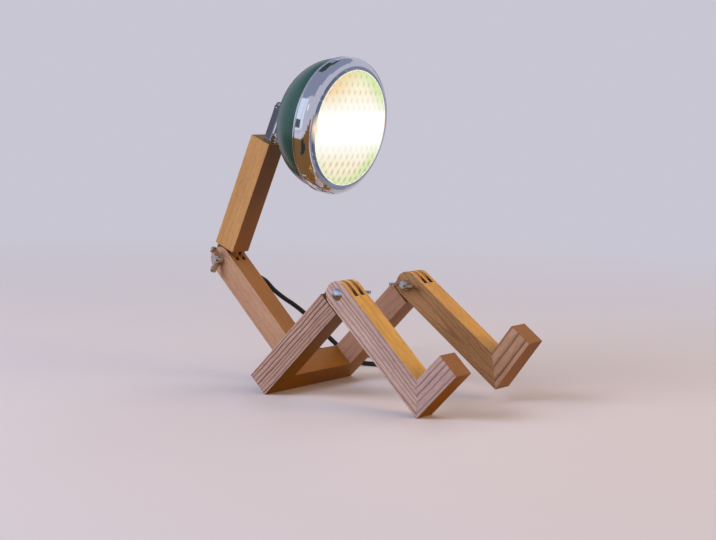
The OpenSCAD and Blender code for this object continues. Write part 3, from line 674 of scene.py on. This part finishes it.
@dataclass
class PressedLens:
    """The lens: rows of staggered pillows pressed into a domed glass, with a flange behind the rim's lip."""

    radius: float = 56.85  # mm, the glass inside the rim
    flange: float = 60.4  # mm, the flange's radius
    flange_t: float = 3.0  # mm
    front: float = 0.9  # mm that the glass's edge stands ahead of the lens point
    step: float = 3.0  # mm from the glass's edge back to the flange
    bulge: float = 4.0  # mm
    pillow: Span = (4.6, 7.8)  # mm, half a pillow's width and a row's height
    relief: float = 9.0  # mm that a pillow's control point stands up; rounding leaves a ninth of it
    cells: tuple[int, int] = (26, 16)
    sides: int = 72
    crease: float = 50.0  # degrees between faces, above which an edge stays sharp

    def pillows(self) -> bpy.types.Object:
        """Press the pillows: a grid with every second corner raised, then rounded.

        Returns:
            The flat sheet of pillows, square and selected.
        """
        deselect()
        across, up = self.cells
        bpy.ops.mesh.primitive_grid_add(x_subdivisions=across, y_subdivisions=up, size=1.0, location=(0, 0, 0))
        sheet = bpy.context.view_layer.objects.active
        sheet.scale = (across * self.pillow[0] * MM, up * self.pillow[1] * MM, 1.0)
        bpy.ops.object.transform_apply(location=False, rotation=False, scale=True)
        bpy.ops.object.mode_set(mode="EDIT")
        bpy.ops.mesh.select_mode(type="VERT")
        bpy.ops.mesh.select_all(action="DESELECT")
        bpy.ops.object.mode_set(mode="OBJECT")
        for vertex in sheet.data.vertices:
            column = round(vertex.co.x / (self.pillow[0] * MM))
            row = round(vertex.co.y / (self.pillow[1] * MM))
            vertex.select = (column + row) % 2 == 0
        bpy.ops.object.mode_set(mode="EDIT")
        bpy.ops.transform.translate(value=(0, 0, self.relief * MM))
        bpy.ops.mesh.select_all(action="SELECT")
        bpy.ops.transform.translate(value=(0, 0, -self.relief / 2 * MM))
        bpy.ops.object.mode_set(mode="OBJECT")
        rounding = sheet.modifiers.new("rounding", "SUBSURF")
        rounding.levels = rounding.render_levels = 2
        bpy.ops.object.modifier_apply(modifier=rounding.name)
        return sheet

    def trim(self) -> None:
        """Cut the sheet in edit mode to a round outline, one straight cut after another."""
        for k in range(self.sides):
            a = math.tau * k / self.sides
            normal = (math.cos(a), math.sin(a), 0.0)
            bpy.ops.mesh.select_all(action="SELECT")
            bpy.ops.mesh.bisect(
                plane_co=tuple(self.radius * MM * c for c in normal), plane_no=normal, clear_outer=True, use_fill=False
            )

    def dome(self, sheet: bpy.types.Object) -> None:
        """Push the sheet's middle forward in a parabola.

        Args:
            sheet: The round sheet, in edit mode.
        """
        bpy.ops.mesh.select_all(action="DESELECT")
        bpy.ops.object.mode_set(mode="OBJECT")
        middle = min(sheet.data.vertices, key=lambda v: v.co.x**2 + v.co.y**2)
        middle.select = True
        bpy.ops.object.mode_set(mode="EDIT")
        bpy.ops.transform.translate(
            value=(0, 0, self.bulge * MM), use_proportional_edit=True,
            proportional_edit_falloff="INVERSE_SQUARE", proportional_size=self.radius * MM,
        )

    def close(self) -> None:
        """Extrude the outline back, out to the flange and back again, and fill the rear."""
        bpy.ops.mesh.select_all(action="SELECT")
        bpy.ops.mesh.region_to_loop()
        bpy.ops.transform.resize(value=(1, 1, 0))
        for back, grow in ((self.step, 1.0), (0.0, self.flange / self.radius), (self.flange_t, 1.0)):
            bpy.ops.mesh.extrude_edges_move(TRANSFORM_OT_translate={"value": (0, 0, -back * MM)})
            bpy.ops.transform.resize(value=(grow, grow, 1), center_override=(0, 0, 0))
        bpy.ops.mesh.edge_face_add()
        bpy.ops.mesh.select_all(action="SELECT")
        bpy.ops.mesh.normals_make_consistent(inside=False)

    def build(self, centre: Vector, dip: float, glass: bpy.types.Material) -> bpy.types.Object:
        """Press, trim, dome and close the lens, and stand it in the rim.

        Args:
            centre: The lens point in the row frame.
            dip: Radians that the lens looks down.
            glass: Its finish.

        Returns:
            The lens.
        """
        lens = self.pillows()
        bpy.ops.object.mode_set(mode="EDIT")
        self.trim()
        self.dome(lens)
        self.close()
        bpy.ops.object.mode_set(mode="OBJECT")
        bpy.ops.object.shade_smooth_by_angle(angle=math.radians(self.crease))
        axis = Vector((math.cos(dip), 0, -math.sin(dip)))
        upright = Vector((math.sin(dip), 0, math.cos(dip)))
        lens.matrix_world = Matrix((upright.cross(axis), upright, axis)).transposed().to_4x4()
        lens.location = centre + axis * self.front * MM
        return settle(lens, "pressed_lens", glass)


@dataclass
class Headlamp:
    """The enamelled shell, its lens and what is behind it."""

    enamel: Moulded = Moulded("#184A41", 0.32, coat=0.25, bump=0.03, grit=2.0)
    rubber: Moulded = Moulded("#141414", 0.7)
    porcelain: Moulded = Moulded("#E9E6DC", 0.35, coat=0.3)
    frosted: Moulded = Moulded("#F6F1DF", 0.3, coat=0.4, bump=0.02)
    anodised: Metal = Metal("#E8E9EA", 0.12, 0.05)

    def build(self, frame: dict) -> None:
        """Dress the headlamp's nodes and press its lens.
        """
        dress_node(frame, "head_shell", self.enamel.dress("bottle_green_enamel"))
        dress_node(frame, "lens_gasket", self.rubber.dress("black_rubber"))
        dress_node(frame, "bulb_holder", self.porcelain.dress("porcelain"))
        dress_node(frame, "reflector", self.anodised.dress("anodised_reflector"))
        dress_node(frame, "bulb", self.frosted.dress("frosted_glass"))
        centre, dip = from_seat(LENS[0], 0, LENS[1]), -Turn.HEAD.radians
        lens = PressedLens().build(centre, dip, PrismaticGlass(centre, dip).dress("prismatic_glass"))
        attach(lens, "head")
        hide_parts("lens")
        LOG.info("pressed the lens: %d faces", len(lens.data.polygons))


@dataclass
class MainsCord:
    """The black mains cord: one round lead from the torso to the plug, most of it wound up out of sight.

    Its points are in mm from the seat's lower edge, on the cord's centre line.
    """

    diameter: float = 5.0  # mm
    pitch: float = 5.55  # mm between the coil's turns
    inner: float = 20.0  # mm, centre line of the innermost turn
    coil_at: Span = (-84.0, 117.0)
    rounds: int = 7  # turns that the coil would have if it ended at the angle where it begins
    per_round: int = 24  # points in a turn
    start: float = 150.0  # degrees where the coil begins
    end: float = 30.0  # degrees where it ends
    plug_at: Point = (-70.0, 190.0, 7.5)  # where the cord enters the plug
    straight: float = 5.0  # mm that it runs straight before the plug
    plug_heading: float = 103.0  # degrees
    grommet: Span = (-91.6, 101.0)  # X and Z of the grommet
    grommet_face: float = 18.0  # Y of its outer face
    leaving: tuple[Point, ...] = (  # from the grommet's face
        (0, 0, 0), (0, 5, 0), (0.5, 11.4, -0.9), (1.9, 17, -3.6), (4.1, 21.5, -7.7),
    )
    hanging: tuple[Point, ...] = (
        (-83.4, 45.2, 85.6), (-76.8, 54.4, 76.7), (-70, 64, 68.8), (-62.5, 75, 58), (-56, 87, 44.5),
        (-49, 99, 32), (-44, 108, 22.5), (-40, 116.5, 14), (-36, 124.5, 7.5), (-31.5, 130.5, 3.8),
        (-25.5, 134.8, 2.5), (-18.5, 137, 2.5), (-12.5, 138, 2.5),
    )
    lying: tuple[Point, ...] = (
        (-7.5, 138.5, 2.5), (-2.5, 139, 2.5), (6, 141, 2.5), (13, 146, 2.5), (17.3, 153.5, 2.5),
        (17.6, 162, 2.5), (14, 170, 2.5), (8, 176, 2.5), (0, 179.5, 2.5), (-10, 181.5, 2.5),
        (-22, 182.5, 2.5), (-34, 183, 2.5), (-46, 183.5, 2.5), (-59, 183.5, 2.5), (-71, 182, 2.5),
        (-82, 179, 2.5), (-92, 174, 2.5), (-100, 167, 2.5), (-106, 158, 2.5), (-110, 149, 2.5),
    )
    lead: tuple[Point, ...] = (  # from the coil to the plug
        (-60.5, 154.5, 8.1), (-63.5, 163, 8.3), (-66, 172, 8.4), (-67.8, 180, 8.4),
    )
    black: Moulded = Moulded("#151517", 0.5, bump=0.12, grit=0.714)
    brass: Metal = Metal("#C9C4B4", 0.2, 0.1)

    def coil(self) -> list[Point]:
        """Wind the coil: it spirals in on the floor, climbs and spirals out on top.

        Returns:
            Its points in mm from the seat's lower edge.
        """
        turns = self.rounds + (self.end - self.start) / 360
        steps = math.ceil(self.per_round * turns)
        points = []
        for i in range(steps + 1):
            turn = turns * i / steps
            back = turn - turns / 2
            r = self.inner + self.pitch * abs(back)
            a = math.radians(self.start + 360 * turn)
            climb = min(1.0, max(0.0, 2 * back + 0.5))
            points.append((
                self.coil_at[0] + r * math.cos(a), self.coil_at[1] + r * math.sin(a),
                self.diameter / 2 + self.pitch * climb,
            ))
        return points

    def route(self) -> list[Vector]:
        """Join the cord's stretches into one centre line, from the torso to the plug.

        Returns:
            Its points in metres.
        """
        heading = math.radians(self.plug_heading)
        x, y, z = self.plug_at
        last = (x - self.straight * math.cos(heading), y - self.straight * math.sin(heading), z)
        x, z = self.grommet
        leaving = [(x + a, self.grommet_face + b, z + c) for a, b, c in self.leaving]
        points = [*leaving, *self.hanging, *self.lying, *self.coil(), *self.lead, last, self.plug_at]
        return smooth_through([from_seat(*p) for p in points], 3)

    def build(self, frame: dict) -> None:
        """Lay the cord and dress the plug and the grommet.
        """
        rubber = self.black.dress("black_flexible_pvc")
        route = self.route()
        cord = sweep("mains_cord", route, self.diameter / 2 * MM, rubber)
        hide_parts("cord_hanging", "cord_on_table", "cord_coil", "cord_to_plug")
        length = sum((b - a).length for a, b in zip(route, route[1:]))
        tuple(route[0])
        [tuple(p) for p in route]
        tuple(route[0])
        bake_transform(cord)
        for node in ("cord_grommet", "plug_body"):
            dress_node(frame, node, rubber)
        dress_node(frame, "plug_pins", self.brass.dress("nickel_plated_brass"))
        LOG.info("mains cord of %.2f m", length)


def smooth_through(points: list[Vector], steps: int) -> list[Vector]:
    """Return a Catmull-Rom curve through the points.

    Args:
        points: The points it passes.
        steps: How many stretches each gap is cut into.

    Returns:
        The curve's points, ends included.
    """
    padded = [points[0] * 2 - points[1], *points, points[-1] * 2 - points[-2]]
    curve = []
    for i in range(len(points) - 1):
        a, b, c, d = padded[i : i + 4]
        for k in range(steps):
            t = k / steps
            curve.append(
                0.5 * ((2 * b) + (c - a) * t + (2 * a - 5 * b + 4 * c - d) * t * t + (3 * b - a - 3 * c + d) * t**3)
            )
    return [*curve, points[-1]]


def sweep(name: str, route: list[Vector], radius: float, material: bpy.types.Material) -> bpy.types.Object:
    """Sweep a round tube along a route.

    Args:
        name: Name of the new piece.
        route: Its centre line in metres.
        radius: Its radius in metres.
        material: Its finish.

    Returns:
        The tube as a mesh object.
    """
    curve = bpy.data.curves.new(name, "CURVE")
    curve.dimensions = "3D"
    curve.bevel_depth = radius
    curve.bevel_resolution = 4
    curve.use_fill_caps = True
    spline = curve.splines.new("POLY")
    spline.points.add(len(route) - 1)
    for point, place in zip(spline.points, route):
        point.co = (*place, 1.0)
    piece = bpy.data.objects.new(name, curve)
    bpy.context.scene.collection.objects.link(piece)
    deselect()
    piece.select_set(True)
    bpy.context.view_layer.objects.active = piece
    bpy.ops.object.convert(target="MESH")
    piece = bpy.context.view_layer.objects.active
    bpy.ops.object.shade_smooth()
    return settle(piece, name, material)


@dataclass(frozen=True)
class SoftLight:
    """A soft square light that looks at the lamp, and that its polished metal doesn't mirror."""

    name: str
    place: Point  # m
    size: float  # m, its side
    watts: float
    colour: str
    target: Point = (0.0, 0.0, 0.12)  # m, the point that it looks at

    def hang(self) -> None:
        """Add the light to the scene."""
        data = bpy.data.lights.new(self.name, "AREA")
        data.size = self.size
        data.energy = self.watts
        data.color = linear(self.colour)[:3]
        lamp = bpy.data.objects.new(self.name, data)
        lamp.location = self.place
        lamp.rotation_euler = (Vector(self.target) - Vector(self.place)).to_track_quat("-Z", "Y").to_euler()
        lamp.visible_glossy = False
        bpy.context.scene.collection.objects.link(lamp)


@dataclass(frozen=True)
class Card:
    """A coloured card that only the polished metal mirrors, as a studio does to give chrome its contrast."""

    name: str
    place: Point  # m, its middle
    size: Span  # m, its width and height
    colour: str
    flat: bool = False  # it lies on the floor, and otherwise it faces the lamp
    target: Point = (-0.05, 0.0, 0.25)  # m, the point that it faces

    def stand(self) -> None:
        """Stand the card in the scene."""
        deselect()
        bpy.ops.mesh.primitive_grid_add(x_subdivisions=2, y_subdivisions=2, size=1.0, location=self.place)
        card = bpy.context.view_layer.objects.active
        card.scale = (*self.size, 1.0)
        if not self.flat:
            card.rotation_euler = (Vector(self.target) - Vector(self.place)).to_track_quat("Z", "Y").to_euler()
        g = Graph(self.name)
        g.set(Base_Color=(0, 0, 0, 1), Roughness=1.0, Emission_Color=linear(self.colour), Emission_Strength=1.0)
        settle(card, self.name, g.material)
        for ray in ("camera", "diffuse", "transmission", "volume_scatter", "shadow"):
            setattr(card, f"visible_{ray}", False)


def seen(tree: Tree) -> Socket:
    """Return 1 for what the camera sees straight, in metal or through glass, and 0 for other light.

    Args:
        tree: The node tree of the floor or the room.

    Returns:
        The socket.
    """
    rays = tree.add("LightPath", {}).node.outputs
    total = rays["Is Camera Ray"]
    for ray in ("Is Glossy Ray", "Is Transmission Ray"):
        total = tree.add("Math", {0: total, 1: rays[ray]}, operation="MAXIMUM")
    return total


@dataclass
class Studio:
    """Pale floor, soft lights and the camera at the photograph's viewing angle."""

    camera_at: Point = (971.91, -1269.87, 289.46)  # mm from the seat's lower edge
    heading: float = 36.96  # degrees the camera looks round from +Y towards -X
    down: float = 6.317  # degrees it looks down
    roll: float = 0.906  # degrees
    focal: float = 1605.08  # pixels of a picture 716 wide
    middle: Span = (323.95, 274.50)  # principal point in pixels
    picture: tuple[int, int] = (716, 540)
    sensor: float = 36.0  # mm
    floor: str = "#D9D3D0"
    floor_radius: float = 14.0  # m
    bounce: str = "#94703E"
    backdrop: str = "#C9C6D3"
    fade: Span = (0.40, 1.68)  # m from the lamp, where the floor starts to melt into the backdrop and has melted
    air: float = 0.44  # strength of the even light
    air_colour: str = "#E4E2EC"
    lights: tuple[SoftLight, ...] = (
        SoftLight("window", (-1.1, -2.1, 1.5), 1.7, 65.0, "#E3E6FF"),
        SoftLight("room", (2.0, 0.5, 1.1), 1.5, 23.0, "#FFC684"),
        SoftLight("back", (-0.6, 1.9, 1.7), 1.4, 14.0, "#EEF0FF"),
    )
    cards: tuple[Card, ...] = (
        Card("window_card", (-0.75, -1.95, 0.85), (1.9, 1.8), "#E6EFFF"),
        Card("mullion", (-0.45, -1.45, 0.80), (0.07, 1.5), "#9FB0CC"),
        Card("side_card", (-0.85, -1.0, 0.32), (0.30, 0.26), "#5A5866"),
        Card("ceiling_card", (0.0, 0.0, 2.5), (5.0, 5.0), "#8E94AA"),
        Card("back_card", (-1.5, 2.1, 0.45), (2.8, 1.0), "#767B92"),
        Card("grey_card", (1.0, 1.1, 0.002), (1.8, 2.0), "#83889C", flat=True),
        Card("slate_card", (-0.95, 0.75, 2.3), (1.1, 1.1), "#3A4440"),
        Card("brown_card", (0.3, -0.33, 0.002), (4.0, 0.66), "#80592F", flat=True),
        Card("lamp_card", (0.55, -1.2, 0.75), (0.28, 0.22), "#FFFFFF"),
        Card("dark_card", (0.02, -0.42, 0.004), (0.34, 0.30), "#26302E", flat=True),
    )

    def build_camera(self) -> None:
        """Make the camera from the fitted view."""
        psi, theta, rho = (math.radians(v) for v in (self.heading, self.down, self.roll))
        forward = Vector((-math.sin(psi) * math.cos(theta), math.cos(psi) * math.cos(theta), -math.sin(theta)))
        right = Vector((math.cos(psi), math.sin(psi), 0))
        up = right.cross(forward)
        right_turned = right * math.cos(rho) + up * math.sin(rho)
        up_turned = up * math.cos(rho) - right * math.sin(rho)
        width, height = self.picture
        data = bpy.data.cameras.new("camera")
        data.sensor_width = self.sensor
        data.lens = self.focal * self.sensor / width
        data.shift_x = (width / 2 - self.middle[0]) / width
        data.shift_y = (self.middle[1] - height / 2) / width
        data.clip_start, data.clip_end = 0.05, 60.0
        camera = bpy.data.objects.new("camera", data)
        columns = Matrix((right_turned, up_turned, -forward)).transposed()
        camera.matrix_world = Matrix.Translation(from_seat(*self.camera_at)) @ columns.to_4x4()
        bpy.context.scene.collection.objects.link(camera)
        bpy.context.scene.camera = camera

    def build_floor(self) -> None:
        """Lay a pale floor that melts into the background with distance."""
        deselect()
        bpy.ops.mesh.primitive_circle_add(vertices=96, radius=self.floor_radius, fill_type="NGON", location=(0, 0, 0))
        floor = bpy.context.view_layer.objects.active
        g = Graph("pale_floor")
        straight = seen(g)
        # The floor looks pale, and the light that it throws back on the lamp is warm, as from timber
        tone = g.layered(linear(self.bounce), (straight, linear(self.floor)))
        g.set(Base_Color=tone, Roughness=0.8, Specular_IOR_Level=0.0)
        place = g.add("TexCoord", {}, "Object")
        far = g.add("VectorMath", {0: place}, "Value", operation="LENGTH")
        far = g.add("MapRange", {0: far, 1: self.fade[0], 2: self.fade[1]})
        melted = g.add("Math", {0: far, 1: straight}, operation="MULTIPLY")
        plain = g.add("Emission", {"Color": linear(self.backdrop), "Strength": 1.0})
        g.show(g.add("MixShader", {0: melted, 1: g.shader.outputs[0], 2: plain}))
        settle(floor, "floor", g.material)

    def build_world(self) -> None:
        """Fill the room with even air light behind a plain backdrop colour."""
        world = bpy.data.worlds.new("room")
        bpy.context.scene.world = world
        world.use_nodes = True
        tree = Tree(world.node_tree, End.WORLD)
        air = tree.add("Background", {"Color": linear(self.air_colour), "Strength": self.air})
        plain = tree.add("Background", {"Color": linear(self.backdrop), "Strength": 1.0})
        tree.show(tree.add("MixShader", {0: seen(tree), 1: air, 2: plain}))

    def build_set(self) -> None:
        """Lay the floor, hang the lights, stand the cards and set the world."""
        self.build_floor()
        for light in self.lights:
            light.hang()
        for card in self.cards:
            card.stand()
        self.build_world()
        bpy.context.scene.view_settings.view_transform = "Standard"


def main() -> None:
    """Build the studio, the cord, the timber, the hardware and the headlamp."""
    logging.basicConfig(level=logging.INFO, format="%(message)s")
    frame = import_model()
    studio = Studio()
    studio.build_camera()
    MainsCord().build(frame)
    Timber().build(frame)
    Hardware().build(frame)
    Headlamp().build(frame)
    studio.build_set()
    LOG.info("all pieces are made")


if __name__ == "__main__":
    main()
